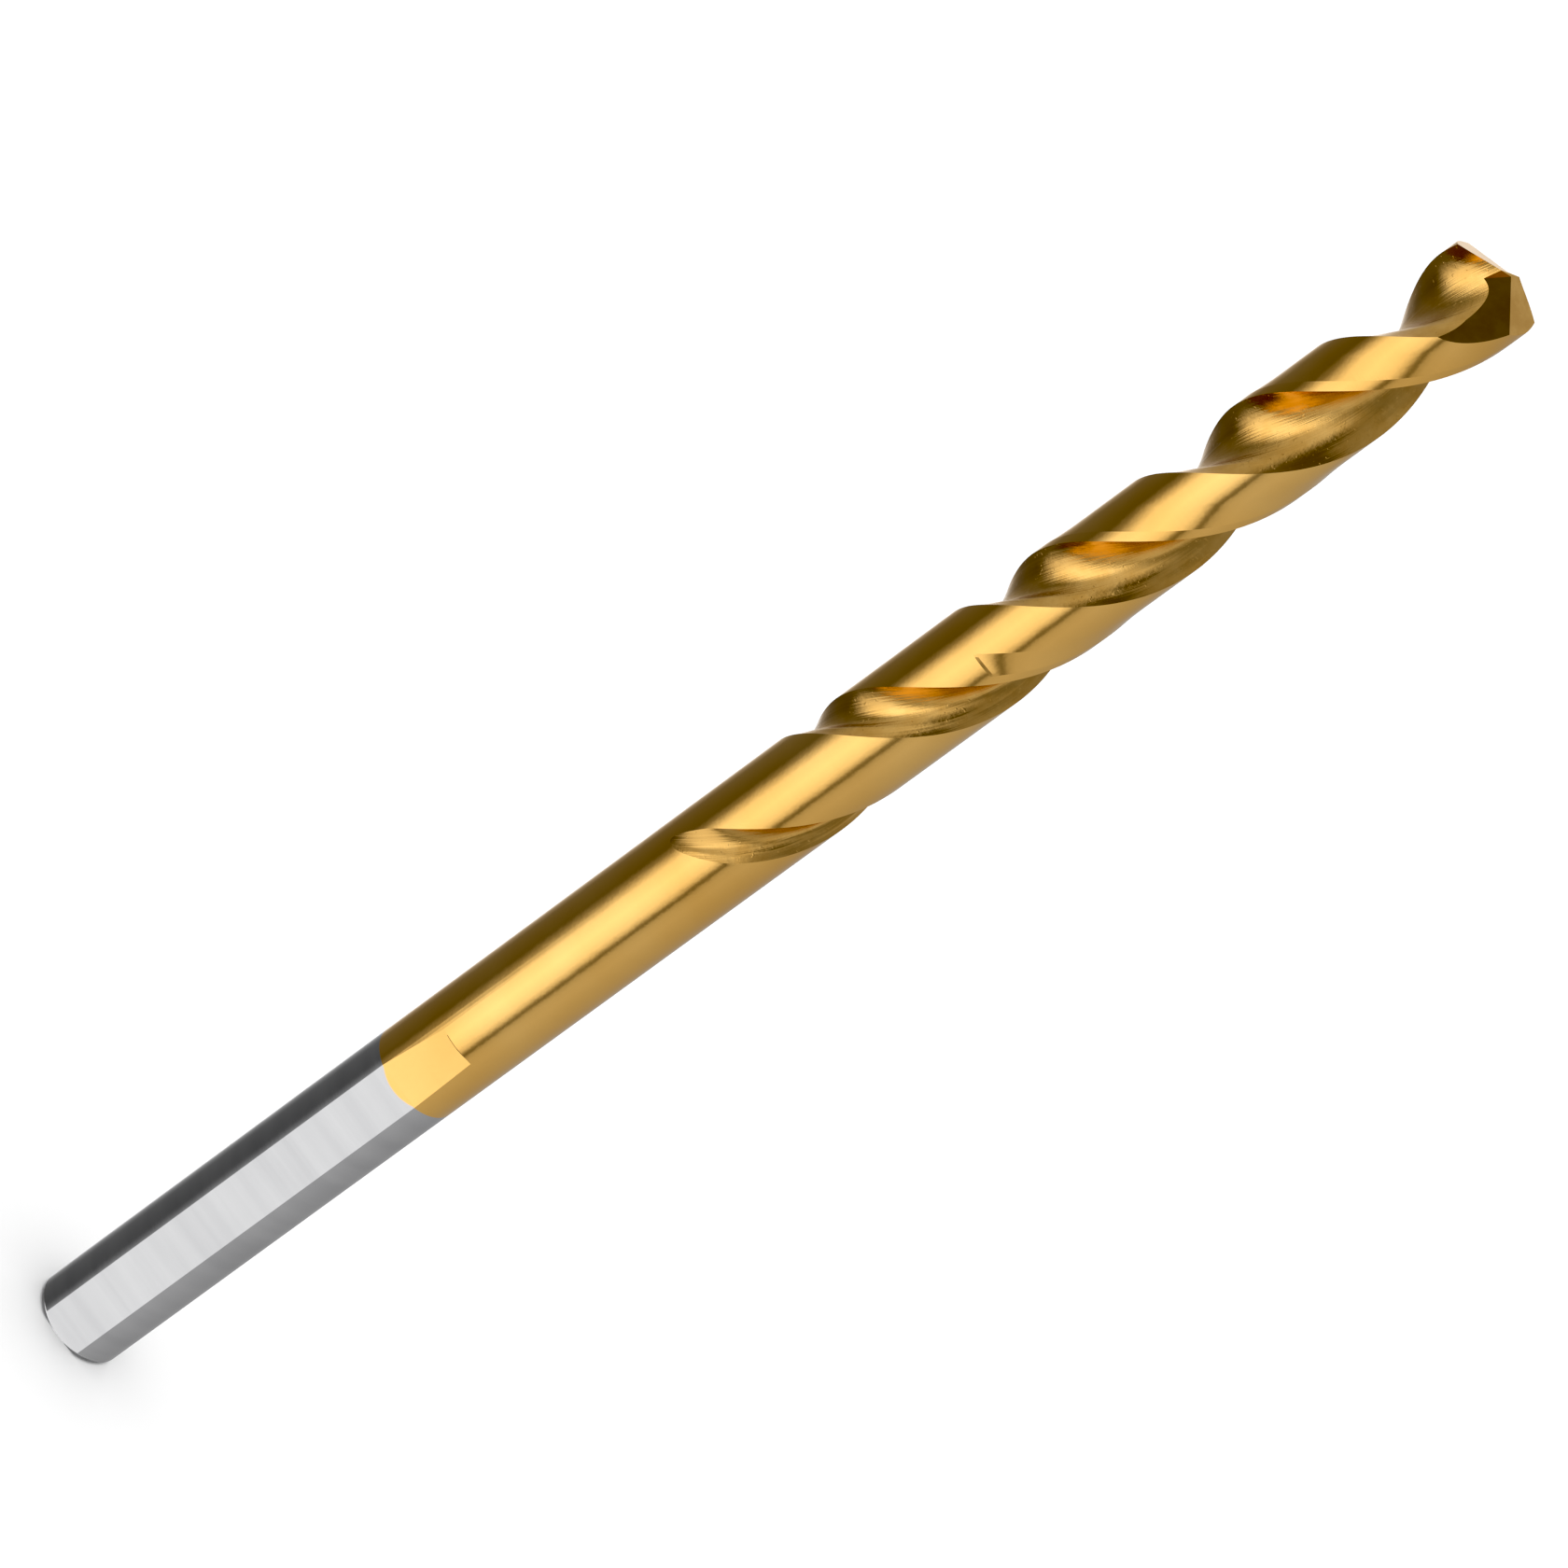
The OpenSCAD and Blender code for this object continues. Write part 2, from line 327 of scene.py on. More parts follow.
def coated_flute(finishes, shank, flutes, point):
    """Gold coating in the flutes, with lines along the helix and painted shade, a darker brown strip, under
    the cutting edges.
    """
    material, tree, shader, place = new_metal("gold_coating_flute")
    x, y, z = split(tree, place)
    angle = math_node(tree, "ARCTAN2", y, x)
    twist = math_node(tree, "MULTIPLY", z, 2 * math.pi / flutes.lead)
    round_pos = math_node(tree, "SUBTRACT", angle, twist)
    unwound = tree.nodes.new("ShaderNodeCombineXYZ")
    tree.links.new(math_node(tree, "COSINE", round_pos), unwound.inputs["X"])
    tree.links.new(math_node(tree, "SINE", round_pos), unwound.inputs["Y"])
    tree.links.new(math_node(tree, "MULTIPLY", z, HELIX_SCALE), unwound.inputs["Z"])
    along = unwound.outputs["Vector"]
    striations = noise(tree, along, 1.0, 4.0, 0.6, (16.0, 16.0, 0.5))
    fine = noise(tree, along, 1.0, 3.0, 0.6, (70.0, 70.0, 1.5))
    reach = squared_reach(tree, x, y)
    arcs = tree.nodes.new("ShaderNodeCombineXYZ")
    bowed = math_node(tree, "ADD", z, math_node(tree, "MULTIPLY", reach, STROKE_BOW))
    tree.links.new(bowed, arcs.inputs["X"])
    tree.links.new(math_node(tree, "MULTIPLY", round_pos, STROKE_TURN), arcs.inputs["Y"])
    strokes = noise(tree, arcs.outputs["Vector"], 1.0, 3.0, 0.65, (5200.0, 900.0, 1.0))
    pits = noise(tree, place, 3400.0, 2.0, 0.5)
    specks = remap(tree, noise(tree, place, 5200.0, 1.0, 0.5), 0.68, 0.76, 0.0, 1.0)
    mottle = noise(tree, place, 900.0, 4.0, 0.6)
    colour = tint(tree, finishes.coating_colour, mottle, (0.88, 0.84, 0.76), (1.0, 1.02, 1.05))
    # Painted shade: a darker brown strip on the rake wall just behind each cutting edge, fading out with
    # distance from the axis and with turn behind the edge
    start = point.corner_turn - 2 * math.pi * (shank.drill_len - point.corner_depth) / flutes.lead
    ahead = math_node(tree, "WRAP", math_node(tree, "SUBTRACT", round_pos, start),
                      math.pi - RAKE_SHADE_LEAD, -RAKE_SHADE_LEAD)
    outer = remap(tree, reach, *(distance ** 2 for distance in RAKE_SHADE_REACH), 0.0, 1.0)
    under = math_node(tree, "MULTIPLY", outer, remap(tree, ahead, *RAKE_SHADE_TURN, 1.0, 0.0))
    under = math_node(tree, "MULTIPLY", under, remap(tree, striations, 0.3, 0.65, 1.0, 0.75))
    colour = blend_colours(tree, under, colour, (*finishes.rake_shade_colour, 1.0))
    rough = math_node(tree, "ADD", remap(tree, fine, 0.3, 0.7, -0.03, 0.05), finishes.flute_roughness)
    dress(tree, shader, colour, rough,
          [(striations, 0.30, 0.06 * MM), (fine, 0.16, 0.02 * MM), (strokes, 0.10, 0.03 * MM),
           (mottle, 0.20, 0.06 * MM), (pits, 0.12, 0.02 * MM), (specks, 0.5, 0.01 * MM)])
    return material


def coated_point(finishes):
    """Gold coating on the ground facets of the point."""
    material, tree, shader, place = new_metal("gold_coating_point")
    lines = noise(tree, place, 1.0, 3.0, 0.6, (900.0, 9000.0, 2500.0))
    cloud = noise(tree, place, 1300.0, 3.0, 0.55)
    colour = tint(tree, finishes.coating_colour, cloud, (0.86, 0.84, 0.86), (1.0, 1.02, 1.1))
    rough = math_node(tree, "ADD", remap(tree, lines, 0.3, 0.7, -0.03, 0.05), finishes.coating_roughness)
    dress(tree, shader, colour, rough, [(lines, 0.07, 0.02 * MM), (cloud, 0.06, 0.05 * MM)])
    return material


# ---------------------------------------------------------------- shapes


# Material slots of the coated body, and the angle in degrees over which an edge in each finish is crisp
LAND, FLUTE, POINT = range(3)
CRISP = {"steel": 12.0, "land": 5.5, "flute": 22.0, "point": 15.0}

# Vertices this close together are one, and this close to a cutting plane lie in it
TOUCHING = 1e-7
IN_PLANE = 1e-8

# Sides of the shank's round wall, and cuts across the boxes that grind the rising flats
SHANK_SIDES = 144
FLAT_CUTS = 7
# Half the length of a cutter, well over the size of the metal
CUTTER = 0.015
# How far a flat's cutter starts below the colour change, and the stock that the point is ground from
FLAT_OVERLAP = 0.2 * MM
STOCK_OVER_POINT = 1.2 * MM

# Segments of each stretch of half a section, and the rings along the flutes, closest at the run-out
RING_SEGMENTS = {"flute": 34, "bevel": 4, "land": 30, "fillet": 14, "margin": 6}
RING_STEPS = 380
RING_GRADING = 1.3

# Where the wheel first touches, ahead of the leading edge, and how a flute opens and dives from there
MOUTH_TURN = math.radians(19.0)
MOUTH_POWER = 0.4
RUNOUT_POWER = 2
# Bulge of the groove that the relief starts with, before it grows into the full hollow
GROOVE_BULGE = 2.8
# The heel side of a land starts this many fillet widths behind the margin, and begins shallower
HEEL_SIDE_FROM = 1.9
HEEL_SIDE_LIFT = 0.12

# What counts as near a flat's step, and how close together its vertices are merged
STEP_NEAR = 0.1 * MM
STEP_MERGE = 0.045 * MM
# The broken edge: its least distance from the axis in radii, its least height in widths of itself,
# and how squarely the step under it faces the shank's end
STEP_RIM = 0.995
STEP_MIN_HEIGHT = 1.3
STEP_FACING = -0.9


def mix(a, b, share):
    """The value that share of the way from a to b."""
    return a + (b - a) * share


def clamp(value):
    """The value held between 0 and 1."""
    return max(0.0, min(1.0, value))


def polar(radius, angle):
    """The point at a radius and an angle round the axis."""
    return Vector((radius * math.cos(angle), radius * math.sin(angle)))


def turn_z(angle):
    """A turn about the tool axis."""
    return Matrix.Rotation(angle, 4, "Z")


def finished_piece(name, bm, finish_set):
    """Makes a piece from a bmesh and its (material, crisp angle in degrees) pairs."""
    bmesh.ops.remove_doubles(bm, verts=bm.verts, dist=TOUCHING)
    bmesh.ops.dissolve_degenerate(bm, edges=bm.edges, dist=TOUCHING)
    bmesh.ops.recalc_face_normals(bm, faces=bm.faces)
    for face in bm.faces:
        face.smooth = True
    for edge in bm.edges:
        limit = min(finish_set[face.material_index][1] for face in edge.link_faces)
        edge.smooth = edge.calc_face_angle(math.pi) < math.radians(limit)
    mesh = bpy.data.meshes.new(name)
    bm.to_mesh(mesh)
    bm.free()
    piece = bpy.data.objects.new(name, mesh)
    bpy.context.scene.collection.objects.link(piece)
    for material, _ in finish_set:
        mesh.materials.append(material)
    return piece


def cut_plane(bm, point, normal, material_index=0):
    """Removes everything on the normal's side of a plane and closes the cut."""
    geometry = bm.verts[:] + bm.edges[:] + bm.faces[:]
    result = bmesh.ops.bisect_plane(bm, geom=geometry, dist=IN_PLANE, plane_co=point, plane_no=normal,
                                    clear_outer=True, clear_inner=False)
    rim = [e for e in result["geom_cut"] if isinstance(e, bmesh.types.BMEdge)]
    closed = bmesh.ops.holes_fill(bm, edges=rim, sides=0)
    for face in closed["faces"]:
        face.material_index = material_index


def subtract(bm, cutter):
    """Removes the cutter's volume from a bmesh with an exact boolean, and returns the new bmesh."""
    scene = bpy.context.scene
    objects = []
    for name, shape in (("operand", bm), ("cutter", cutter)):
        mesh = bpy.data.meshes.new(name)
        shape.to_mesh(mesh)
        shape.free()
        for _ in (LAND, FLUTE, POINT):
            mesh.materials.append(None)
        objects.append(bpy.data.objects.new(name, mesh))
        scene.collection.objects.link(objects[-1])
    operand, tool = objects
    boolean = operand.modifiers.new("cut", "BOOLEAN")
    boolean.operation = "DIFFERENCE"
    boolean.solver = "EXACT"
    boolean.material_mode = "INDEX"
    boolean.object = tool
    bpy.context.view_layer.update()
    evaluated = operand.evaluated_get(bpy.context.evaluated_depsgraph_get())
    result = bmesh.new()
    result.from_mesh(evaluated.to_mesh())
    evaluated.to_mesh_clear()
    for spent in objects:
        mesh = spent.data
        bpy.data.objects.remove(spent)
        bpy.data.meshes.remove(mesh)
    return result


def cut_box(bm, low, high, matrix):
    """Adds a box between two corners, moved by a matrix."""
    size = [b - a for a, b in zip(low, high)]
    middle = [(a + b) / 2 for a, b in zip(low, high)]
    place = matrix @ Matrix.Translation(middle) @ Matrix.Diagonal((*size, 1.0))
    bmesh.ops.create_cube(bm, size=1.0, matrix=place)


class FluteShape:
    """The section of the fluted stretch at each height."""

    def __init__(self, shank, flutes, point):
        self.radius = shank.drill_d / 2
        self.length = shank.drill_len
        self.start = shank.drill_len - flutes.flute_len
        self.margin_start = shank.drill_len - flutes.margin_len
        self.flutes = flutes
        self.point = point

    def along(self, z, length):
        """Distance from the run-out, as a share of a length."""
        return clamp((z - self.start) / length)

    def grown(self, z, name):
        """A size that changes evenly from its value at the run-out to its value at the point."""
        share = self.along(z, self.flutes.flute_len)
        return mix(getattr(self.flutes, f"{name}_root"), getattr(self.flutes, f"{name}_tip"), share)

    def leading_turn(self, z):
        """Direction of the leading edge."""
        depth = self.length - self.point.corner_depth
        return self.point.corner_turn + 2 * math.pi * (z - depth) / self.flutes.lead

    def edges(self, z):
        """The flute's leading and heel edges, in radians ahead of its leading edge."""
        spread = max(self.along(z, self.flutes.mouth_len), 1e-4) ** MOUTH_POWER
        return MOUTH_TURN * (1 - spread), mix(MOUTH_TURN, self.grown(z, "opening"), spread)

    def dive(self, z):
        """Share of the way from full depth back to the surface, at the run-out."""
        return (1 - self.along(z, self.flutes.runout_len)) ** RUNOUT_POWER

    def relief(self, z, back):
        """Depth of a land below full size, where back is the angle behind its margin's back edge."""
        flutes = self.flutes
        reach = min(back / flutes.relief_fillet, 1.0)
        hollow = 1.0 - (1.0 - reach) ** 2
        groove = GROOVE_BULGE * reach * (1.0 - reach)
        past = z - self.margin_start
        run_in = flutes.relief_lens * groove
        start = clamp((past + run_in) / (flutes.relief_step + run_in))
        settled = clamp(past / flutes.heel_lag)
        settled *= settled * (3.0 - 2.0 * settled)
        before_heel = 1.0 - clamp((past - flutes.heel_lag) / flutes.relief_step)
        heel_side = clamp(back / flutes.relief_fillet - HEEL_SIDE_FROM)
        full = hollow * (1.0 - HEEL_SIDE_LIFT * heel_side * before_heel)
        return flutes.relief_depth * (full * settled + groove * start * (1.0 - settled))

    def control(self, z, wall, lead, bevel):
        """The control point that shapes one wall of the flute's curve."""
        reach, place = self.grown(z, wall + "_reach"), self.grown(z, wall + "_place")
        return polar(self.radius * reach, mix(lead, bevel, place))

    def half_section(self, z):
        """Half of the section: one flute, then one land, its relief and its margin."""
        lead, heel = self.edges(z)
        margin_from = math.pi - self.flutes.margin_width
        fillet_from = margin_from - self.flutes.relief_fillet
        bevel = heel - self.flutes.bevel_width * (heel - lead) / self.grown(z, "opening")
        a, b = polar(self.radius, lead), polar(self.radius - self.grown(z, "bevel"), bevel)
        rake_pull, heel_pull = (self.control(z, wall, lead, bevel) for wall in ("rake", "heel"))
        heel_corner = polar(self.radius - self.relief(z, margin_from - heel), heel)
        points = []
        count = RING_SEGMENTS["flute"]
        for i in range(count):
            t = i / count
            u = 1 - t
            points.append(a * u ** 3 + rake_pull * (3 * t * u * u) + heel_pull * (3 * t * t * u) + b * t ** 3)
        count = RING_SEGMENTS["bevel"]
        points += [mix(b, heel_corner, i / count) for i in range(count)]
        dive = self.dive(z)
        points = [mix(p, p.normalized() * self.radius, dive) for p in points]
        stretches = (("land", heel, fillet_from), ("fillet", fillet_from, margin_from),
                     ("margin", margin_from, math.pi + lead))
        for name, start, end in stretches:
            count = RING_SEGMENTS[name]
            for i in range(count):
                angle = mix(start, end, i / count)
                points.append(polar(self.radius - self.relief(z, max(margin_from - angle, 0.0)), angle))
        return points

    def section(self, z):
        """The whole section, turned to where it lies."""
        half = self.half_section(z)
        turn = Matrix.Rotation(self.leading_turn(z), 2)
        return [turn @ p for p in half + [-p for p in half]]


def fluted_bar(shape, top):
    """The fluted stretch as one twisted tube of rings, open at both ends."""
    half = sum(RING_SEGMENTS.values())
    around = 2 * half
    rise = top - shape.start
    bm = bmesh.new()
    first = bmesh.ops.create_circle(bm, cap_ends=False, segments=around, radius=shape.radius)["verts"]
    bmesh.ops.translate(bm, verts=first, vec=(0.0, 0.0, shape.start))
    bmesh.ops.spin(
        bm, geom=bm.edges[:], cent=(0.0, 0.0, 0.0), axis=(0.0, 0.0, 1.0),
        dvec=(0.0, 0.0, rise / RING_STEPS), angle=0.0, steps=RING_STEPS, use_merge=False, use_duplicate=False,
    )
    zero = min(math.atan2(v.co.y, v.co.x) % (2 * math.pi) for v in first)
    pitch = 2 * math.pi / around
    sections = {}
    place = {}
    for vert in bm.verts:
        ring = round((vert.co.z - shape.start) / rise * RING_STEPS)
        spot = round((math.atan2(vert.co.y, vert.co.x) % (2 * math.pi) - zero) / pitch) % around
        place[vert] = (ring, spot)
    for vert, (ring, spot) in place.items():
        z = shape.start + rise * (ring / RING_STEPS) ** RING_GRADING
        if ring not in sections:
            sections[ring] = shape.section(z)
        x, y = sections[ring][spot]
        vert.co = (x, y, z)
    flute = RING_SEGMENTS["flute"] + RING_SEGMENTS["bevel"]
    for face in bm.faces:
        spots = [place[v][1] for v in face.verts]
        low = min(spots)
        if max(spots) - low > half:
            low = max(spots)
        face.material_index = FLUTE if low % half < flute else LAND
    return bm


def flat_directions(shank):
    """The directions that the three flats face."""
    return [shank.flat_turn + third * 2 * math.pi / 3 for third in range(3)]


def flat_cutters(shank, shape):
    """Boxes that take the last stretch of the three flats, up to their steps."""
    cutters = bmesh.new()
    run = shank.flat_len - shank.bare_len
    tilt = math.atan((shank.flat_stop_apothem - shank.flat_apothem) / run)
    radius = shape.radius
    for direction in flat_directions(shank):
        matrix = (turn_z(direction) @ Matrix.Translation((shank.flat_apothem, 0.0, shank.bare_len))
                  @ Matrix.Rotation(tilt, 4, "Y"))
        cut_box(cutters, (0.0, -radius, -FLAT_OVERLAP), (radius, radius, run), matrix)
    bmesh.ops.subdivide_edges(cutters, edges=cutters.edges, cuts=FLAT_CUTS, use_grid_fill=True)
    for vert in cutters.verts:
        share = clamp((vert.co.z - shank.bare_len) / run)
        vert.co.rotate(turn_z(shank.flat_stop_turn * share))
    return cutters


def notch_cutters(shank, point):
    """Wedges that take the two notches of the split point."""
    cutters = bmesh.new()
    half = point.notch_angle / 2
    for side in (0.0, math.pi):
        place = (turn_z(side)
                 @ Matrix.Translation((point.notch_offset, 0.0, shank.drill_len - point.notch_offset / 2))
                 @ turn_z(point.notch_turn) @ Matrix.Rotation(point.notch_tilt, 4, "Y")
                 @ turn_z(point.notch_roll))
        corners = [Vector((0.0, 0.0)), polar(CUTTER, -half), polar(CUTTER, half)]
        foot = [cutters.verts.new((c.x, c.y, -CUTTER)) for c in corners]
        base = cutters.faces.new(foot)
        raised = bmesh.ops.extrude_face_region(cutters, geom=[base])["geom"]
        tops = [g for g in raised if isinstance(g, bmesh.types.BMVert)]
        bmesh.ops.translate(cutters, verts=tops, vec=(0.0, 0.0, 2 * CUTTER))
        bmesh.ops.transform(cutters, matrix=place, verts=foot + tops)
    bmesh.ops.recalc_face_normals(cutters, faces=cutters.faces)
    for face in cutters.faces:
        face.material_index = POINT
    return cutters


def flank_normal(point, side):
    """The outward normal of one flank of the point."""
    turn = (turn_z(side + point.lip_turn) @ Matrix.Rotation(math.pi / 2 - point.point_angle / 2, 4, "Y")
            @ Matrix.Rotation(point.lip_clearance, 4, "X"))
    return turn.to_3x3() @ Vector((0.0, 0.0, 1.0))


def break_step_edges(bm, shank):
    """Bevels the round edge over each flat's step, where the step is high enough for it."""
    ends = [v for v in bm.verts if abs(v.co.z - shank.flat_len) < STEP_NEAR]
    bmesh.ops.remove_doubles(bm, verts=ends, dist=STEP_MERGE)
    facing = [polar(1.0, direction + shank.flat_stop_turn) for direction in flat_directions(shank)]
    edges = []
    for edge in bm.edges:
        middle = (edge.verts[0].co + edge.verts[1].co) / 2
        height = max(middle.xy.dot(way) for way in facing) - shank.flat_stop_apothem
        near = abs(middle.z - shank.flat_len) < STEP_NEAR
        on_rim = middle.xy.length > STEP_RIM * shank.drill_d / 2
        over_step = min(face.normal.z for face in edge.link_faces) < STEP_FACING
        if near and on_rim and over_step and height > STEP_MIN_HEIGHT * shank.step_edge:
            edges.append(edge)
    bmesh.ops.bevel(bm, geom=edges, offset=shank.step_edge, offset_type="OFFSET", segments=2, profile=0.5,
                    affect="EDGES", material=-1, clamp_overlap=False)


def make_fluted_body(shank, flutes, point):
    """The coated body: the end of the flats, the round neck, the flutes and the split point."""
    shape = FluteShape(shank, flutes, point)
    bm = fluted_bar(shape, shank.drill_len + STOCK_OVER_POINT)
    rim = [e for e in bm.edges
           if e.is_boundary and all(abs(v.co.z - shape.start) < TOUCHING for v in e.verts)]
    down = bmesh.ops.extrude_edge_only(bm, edges=rim)["geom"]
    foot = [g for g in down if isinstance(g, bmesh.types.BMVert)]
    for face in (g for g in down if isinstance(g, bmesh.types.BMFace)):
        face.material_index = LAND
    bmesh.ops.translate(bm, verts=foot, vec=(0.0, 0.0, shank.bare_len - shape.start))
    bmesh.ops.holes_fill(bm, edges=[e for e in bm.edges if e.is_boundary], sides=0)
    tip = Vector((0.0, 0.0, shank.drill_len))
    for side in (0.0, math.pi):
        cut_plane(bm, tip, flank_normal(point, side), POINT)
    bmesh.ops.recalc_face_normals(bm, faces=bm.faces)
    bm = subtract(bm, notch_cutters(shank, point))
    bm = subtract(bm, flat_cutters(shank, shape))
    break_step_edges(bm, shank)
    return bm


def make_shank(shank):
    """The bare steel end: a chamfered bar with three flats."""
    radius = shank.drill_d / 2
    chamfer = shank.end_chamfer
    bm = bmesh.new()
    end = bmesh.ops.create_circle(bm, cap_ends=True, segments=SHANK_SIDES, radius=radius - chamfer)["verts"]
    bmesh.ops.transform(bm, matrix=turn_z(math.pi / SHANK_SIDES), verts=end)
    ring = bm.edges[:]
    for rise, scale in ((chamfer, radius / (radius - chamfer)), (shank.bare_len - chamfer, 1.0)):
        geometry = bmesh.ops.extrude_edge_only(bm, edges=ring)["geom"]
        verts = [g for g in geometry if isinstance(g, bmesh.types.BMVert)]
        ring = [g for g in geometry if isinstance(g, bmesh.types.BMEdge)
                and all(v in verts for v in g.verts)]
        bmesh.ops.translate(bm, verts=verts, vec=(0.0, 0.0, rise))
        bmesh.ops.scale(bm, verts=verts, vec=(scale, scale, 1.0))
    bmesh.ops.holes_fill(bm, edges=ring, sides=0)
    for direction in flat_directions(shank):
        normal = polar(1.0, direction).to_3d()
        cut_plane(bm, normal * shank.flat_apothem, normal)
    return bm


# ---------------------------------------------------------------- pieces


class DRILL_OT_shank(bpy.types.Operator):
    """Make the bare steel shank with its three flats"""

    bl_idname = "drill.shank"
    bl_label = "Shank"
    bl_options = {"REGISTER", "UNDO"}

    def execute(self, context):
        shank = context.scene.drill_shank
        steel = bare_steel(context.scene.drill_finishes, shank)
        piece = finished_piece("bare_shank", make_shank(shank), [(steel, CRISP["steel"])])
        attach(piece, "root")
        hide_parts("shank")
        return {"FINISHED"}


class DRILL_OT_fluted_body(bpy.types.Operator):
    """Make the coated body with its neck, flutes and split point"""

    bl_idname = "drill.fluted_body"
    bl_label = "Fluted body"
    bl_options = {"REGISTER", "UNDO"}

    def execute(self, context):
        scene = context.scene
        finishes = scene.drill_finishes
        sizes = (scene.drill_shank, scene.drill_flutes, scene.drill_point)
        finish_set = [
            (coated_land(finishes), CRISP["land"]),
            (coated_flute(finishes, *sizes), CRISP["flute"]),
            (coated_point(finishes), CRISP["point"]),
        ]
        piece = finished_piece("coated_body", make_fluted_body(*sizes), finish_set)
        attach(piece, "root")
        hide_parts("fluted_body")
        return {"FINISHED"}


# ---------------------------------------------------------------- studio


# The walls as the tool sees them. Each ring is (direction round the axis in degrees, brightness).
# The low ring holds the large softbox in front, the grey card at its right and the pale backdrop behind.
LOW_RING = [
    (-180, 1.40), (-165, 0.72), (-150, 0.33), (-130, 0.17), (-75, 0.13), (-63, 0.28), (-52, 0.72),
    (-40, 1.22), (-15, 1.40), (0, 1.28), (12, 1.10), (21, 0.72), (27, 0.26), (32, 0.20), (37, 0.46),
    (45, 0.55), (60, 0.57), (90, 0.50), (140, 0.40), (180, 0.42),
]
# The level ring holds a dim strip of wall over the softbox
LEVEL_RING = [
    (-180, 0.70), (-160, 0.65), (-130, 0.40), (-100, 0.42), (-60, 0.55), (-20, 0.70), (0, 0.48), (20, 0.30),
    (45, 0.18), (90, 0.25), (180, 0.30),
]
# The high ring holds the dark gap under the ceiling
HIGH_RING = [
    (-180, 0.42), (-100, 0.25), (-75, 0.14), (-30, 0.09), (-12, 0.10), (12, 0.26), (60, 0.32), (130, 0.40),
    (148, 0.46), (180, 0.42),
]
CEILING = 0.35
FLOOR_SHADE = 0.18
# Heights in degrees between which one ring turns into the next
BLENDS = {"low": (-16, -2), "level": (12, 20), "high": (56, 66), "shade": (-62, -78)}
# Half the floor's side, and the soft light over it, in metres and watts
FLOOR_REACH = 3.0
OVERHEAD_WIDTH = 1.6
OVERHEAD_HEIGHT = 1.2
OVERHEAD_POWER = 20.5
# The camera's sensor in millimetres, and the nearest and farthest that it sees in metres
SENSOR_WIDTH = 36.0
CAMERA_REACH = (0.01, 10.0)


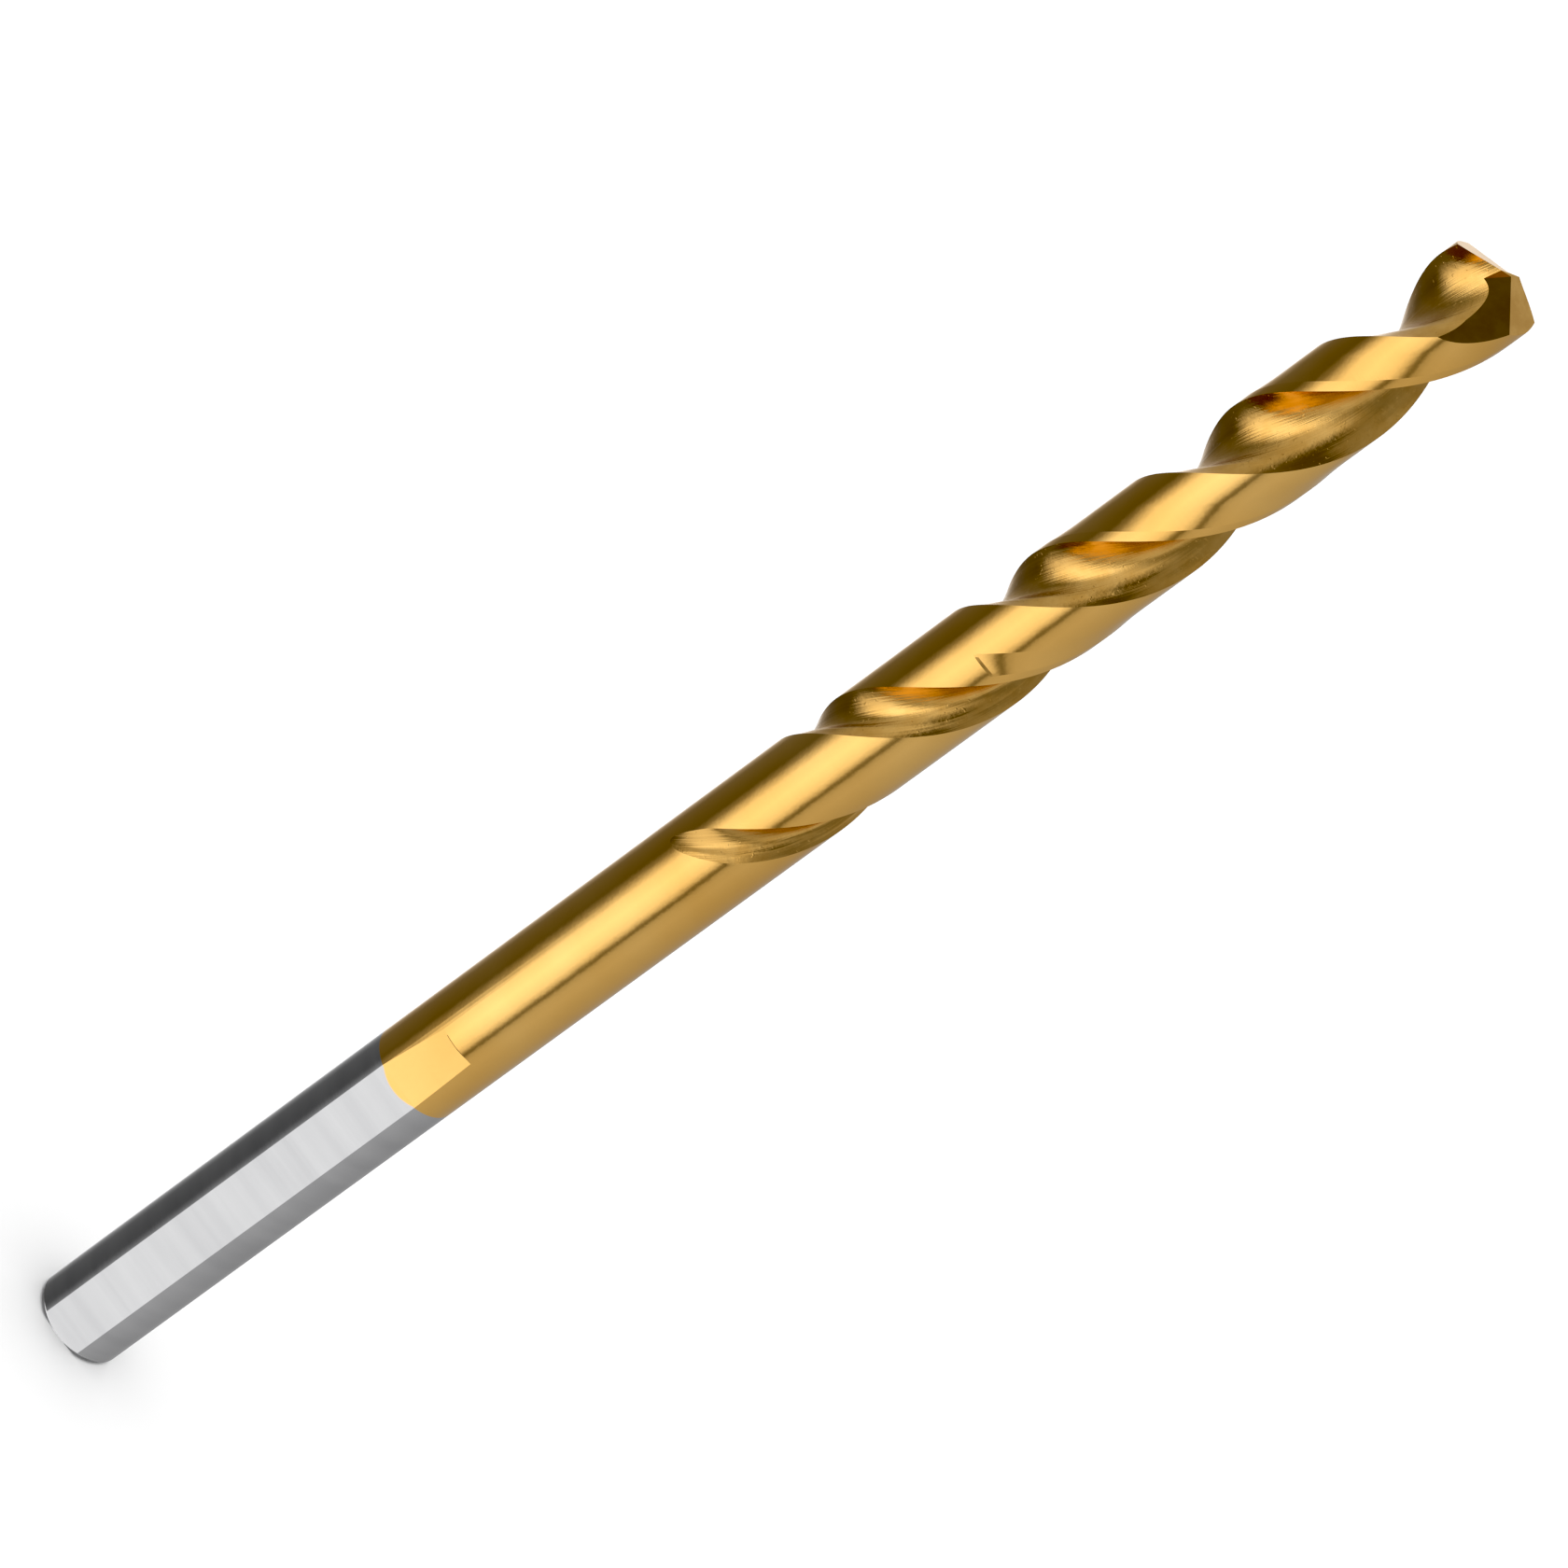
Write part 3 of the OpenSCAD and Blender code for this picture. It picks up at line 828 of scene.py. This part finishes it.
class DRILL_OT_studio(bpy.types.Operator):
    """Make the floor, the light and the camera"""

    bl_idname = "drill.studio"
    bl_label = "Studio"
    bl_options = {"REGISTER", "UNDO"}

    def execute(self, context):
        scene = context.scene
        studio = scene.drill_studio
        self.make_walls(scene, studio)
        self.make_floor(scene, studio)
        self.make_overhead_light(scene)
        self.make_camera(scene, studio)
        scene.view_settings.view_transform = "Standard"
        scene.view_settings.use_curve_mapping = True
        curves = scene.view_settings.curve_mapping
        curves.black_level = [studio.black_point] * 3
        curves.update()
        return {"FINISHED"}

    def make_walls(self, scene, studio):
        """The bright and dark walls that the metal reflects."""
        world = bpy.data.worlds.new("studio_walls")
        scene.world = world
        world.use_nodes = True
        tree = world.node_tree
        background = tree.nodes["Background"]
        background.inputs["Strength"].default_value = studio.wall_strength
        toward = tree.nodes.new("ShaderNodeTexCoord").outputs["Generated"]
        mapping = tree.nodes.new("ShaderNodeMapping")
        mapping.inputs["Rotation"].default_value = (0.0, 0.0, math.pi / 2)
        tree.links.new(toward, mapping.inputs["Vector"])
        gradient = tree.nodes.new("ShaderNodeTexGradient")
        gradient.gradient_type = "RADIAL"
        tree.links.new(mapping.outputs["Vector"], gradient.inputs["Vector"])
        height = split(tree, toward)["Z"]
        low, level, high = (self.ring(tree, gradient.outputs["Fac"], stops, studio.wall_strength)
                            for stops in (LOW_RING, LEVEL_RING, HIGH_RING))
        ceiling, shade = ((*[grey / studio.wall_strength] * 3, 1.0) for grey in (CEILING, FLOOR_SHADE))
        view = low
        for name, above in (("low", level), ("level", high), ("high", ceiling), ("shade", shade)):
            start, end = (math.sin(math.radians(degrees)) for degrees in BLENDS[name])
            view = blend_colours(tree, remap(tree, height, start, end, 0.0, 1.0), view, above)
        tree.links.new(view, background.inputs["Color"])

    def ring(self, tree, place, levels, full):
        """A ramp of brightness round the axis."""
        ramp = tree.nodes.new("ShaderNodeValToRGB")
        stops = ramp.color_ramp.elements
        while len(stops) < len(levels):
            stops.new(0.5)
        for stop, (degrees, level) in zip(stops, levels):
            stop.position = 0.5 + degrees / 360
            stop.color = (level / full, level / full, level / full, 1.0)
        tree.links.new(place, ramp.inputs["Fac"])
        return ramp.outputs["Color"]

    def make_floor(self, scene, studio):
        """The plain pale floor that the shank stands on."""
        bm = bmesh.new()
        bmesh.ops.create_grid(bm, x_segments=1, y_segments=1, size=FLOOR_REACH)
        mesh = bpy.data.meshes.new("floor")
        bm.to_mesh(mesh)
        bm.free()
        floor = bpy.data.objects.new("floor", mesh)
        scene.collection.objects.link(floor)
        material = bpy.data.materials.new("pale_floor")
        material.use_nodes = True
        shader = material.node_tree.nodes["Principled BSDF"]
        shader.inputs["Base Color"].default_value = (*studio.floor_colour, 1.0)
        shader.inputs["Roughness"].default_value = 0.9
        shader.inputs["Specular IOR Level"].default_value = 0.0
        mesh.materials.append(material)
        floor.visible_glossy = False

    def make_overhead_light(self, scene):
        """The soft light over the floor, which the metal doesn't reflect."""
        light = bpy.data.lights.new("overhead_softbox", "AREA")
        light.shape = "DISK"
        light.size = OVERHEAD_WIDTH
        light.energy = OVERHEAD_POWER
        lamp = bpy.data.objects.new("overhead_softbox", light)
        lamp.location = (0.0, 0.0, OVERHEAD_HEIGHT)
        lamp.visible_glossy = False
        scene.collection.objects.link(lamp)

    def make_camera(self, scene, studio):
        """The camera, aimed at the middle of the drill."""
        camera = bpy.data.cameras.new("studio_camera")
        camera.lens = studio.lens
        camera.sensor_width = SENSOR_WIDTH
        camera.clip_start, camera.clip_end = CAMERA_REACH
        holder = bpy.data.objects.new("studio_camera", camera)
        scene.collection.objects.link(holder)
        turn = Matrix.Rotation(math.pi / 2 - studio.view_elevation, 4, "X") @ turn_z(studio.view_roll)
        aim = Matrix.Translation((-studio.aim_side, 0.0, studio.aim_height))
        holder.matrix_world = aim @ turn @ Matrix.Translation((0.0, 0.0, studio.view_distance))
        scene.camera = holder


class DRILL_PT_build(bpy.types.Panel):
    """Build buttons and sizes in the 3D view's sidebar"""

    bl_label = "Twist drill"
    bl_idname = "DRILL_PT_build"
    bl_space_type = "VIEW_3D"
    bl_region_type = "UI"
    bl_category = "Drill"

    def draw(self, context):
        layout = self.layout
        for operator in OPERATORS:
            layout.operator(operator.bl_idname)
        for name, group in GROUPS.items():
            box = layout.box()
            box.label(text=group.__doc__)
            settings = getattr(context.scene, name)
            for key in group.__annotations__:
                box.prop(settings, key)


GROUPS = {
    "drill_shank": DrillShankSizes,
    "drill_flutes": DrillFluteSizes,
    "drill_point": DrillPointSizes,
    "drill_finishes": DrillFinishes,
    "drill_studio": DrillStudio,
}
OPERATORS = [DRILL_OT_shank, DRILL_OT_fluted_body, DRILL_OT_studio]


def register():
    """Registers the classes and gives the scene its settings."""
    for cls in [*GROUPS.values(), *OPERATORS, DRILL_PT_build]:
        bpy.utils.register_class(cls)
    for name, group in GROUPS.items():
        setattr(bpy.types.Scene, name, bpy.props.PointerProperty(type=group))


def unregister():
    """Takes the settings and the classes away again."""
    for name in GROUPS:
        delattr(bpy.types.Scene, name)
    for cls in [DRILL_PT_build, *OPERATORS, *GROUPS.values()]:
        bpy.utils.unregister_class(cls)


def main():
    """Registers the add-on, and builds the drill and its studio."""
    register()
    bpy.ops.drill.shank()
    bpy.ops.drill.fluted_body()
    bpy.ops.drill.studio()


if __name__ == "__main__":
    main()
